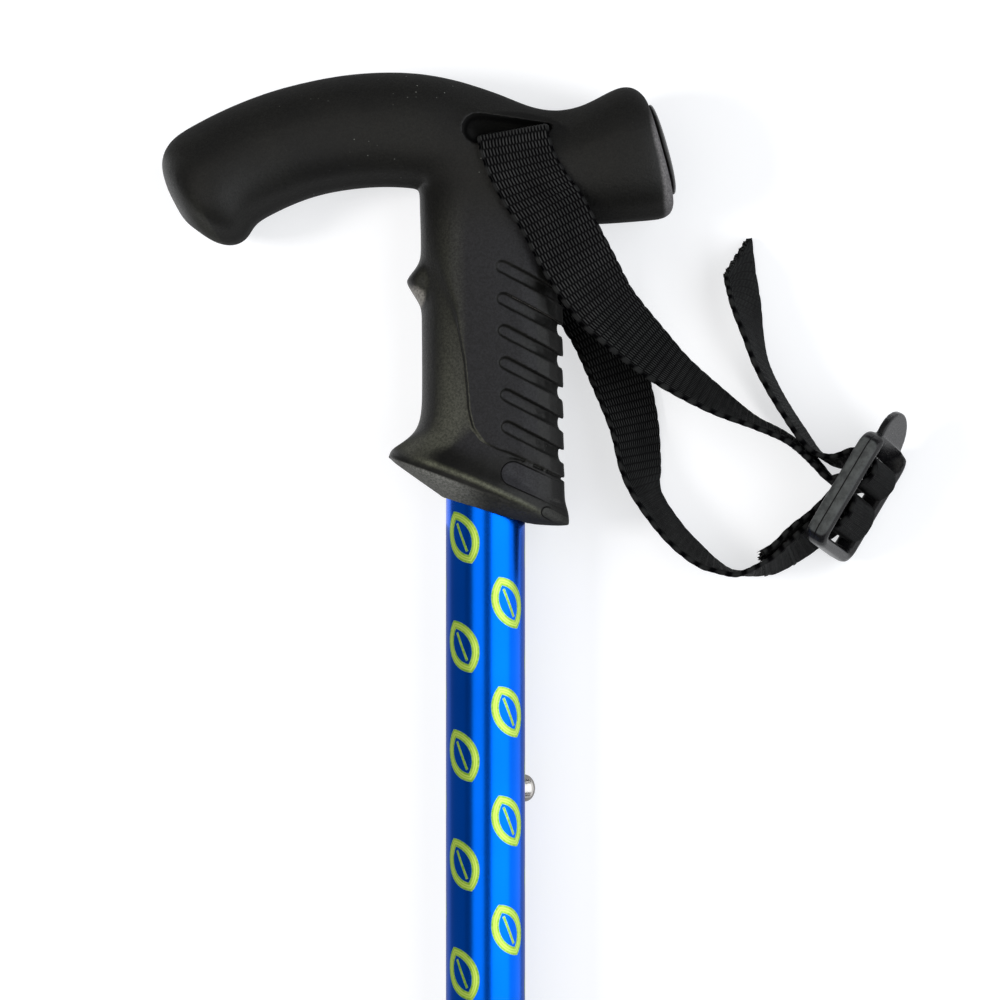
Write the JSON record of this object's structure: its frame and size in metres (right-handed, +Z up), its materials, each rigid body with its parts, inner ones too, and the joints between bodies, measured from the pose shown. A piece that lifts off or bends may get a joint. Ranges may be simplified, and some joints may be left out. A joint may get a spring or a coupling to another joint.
{
  "type": "walking cane",
  "caption": "Height-adjustable walking cane lying on its side: moulded T handle, telescopic tube with snap button and lock collar, rubber ferrule and wrist strap.",
  "frame": {"origin": "centre of the ferrule's ground face", "axes": "+Y along the shaft from the ferrule to the handle, +X towards the handle's short arm, +Z up from the surface that the cane lies on"},
  "size_m": [0.2084, 0.762, 0.0342],
  "materials": {
    "handle_grip": "moulded matte rubbery black",
    "handle_cap": "moulded satin black",
    "printed_tube": "anodised blue with a printed lime-green pattern, gloss",
    "plain_tube": "anodised blue, gloss",
    "bush_plastic": "moulded grey",
    "collar_plastic": "moulded black, fluted",
    "button_steel": "polished, fine scratches",
    "spring_steel": "rolled strip",
    "ferrule_rubber": "moulded matte rubber",
    "washer_steel": "zinc plated",
    "strap_webbing": "woven polypropylene webbing",
    "buckle_acetal": "moulded acetal, slight sheen"
  },
  "bodies": {
    "upper_section": {"handle_body": "handle_grip", "handle_end_cap": "handle_cap", "upper_tube": "printed_tube", "collet_bush": "bush_plastic"},
    "lower_section": {"lower_tube": "plain_tube", "guide_bush": "bush_plastic", "ferrule": "ferrule_rubber", "ferrule_washer": "washer_steel"},
    "button": {"snap_button": "button_steel", "snap_spring": "spring_steel"},
    "collar": {"lock_collar": "collar_plastic"},
    "wrist_loop": {"wrist_strap": "strap_webbing", "strap_buckle": "buckle_acetal"}
  },
  "joints": [
    {"name": "height_slide", "type": "slide", "parent": "upper_section", "child": "lower_section", "axis": [0, -1, 0], "range_m": [0, 0.1524]},
    {"name": "button_press", "type": "slide", "parent": "lower_section", "child": "button", "axis": [-0.8829, 0, 0.4695], "range_m": [0, 0.0054], "stiffness_N_per_m": 900, "deforming": ["snap_spring"]},
    {"name": "collar_turn", "type": "hinge", "parent": "upper_section", "child": "collar", "pos_m": [0, 0.2808, 0], "axis": [0, 1, 0], "range_deg": [0, 180]},
    {"name": "strap_swing", "type": "hinge", "parent": "upper_section", "child": "wrist_loop", "pos_m": [0.0068, 0.7455, 0], "axis": [0, 0, 1], "range_deg": [-20, 15], "deforming": ["wrist_strap"]}
  ]
}
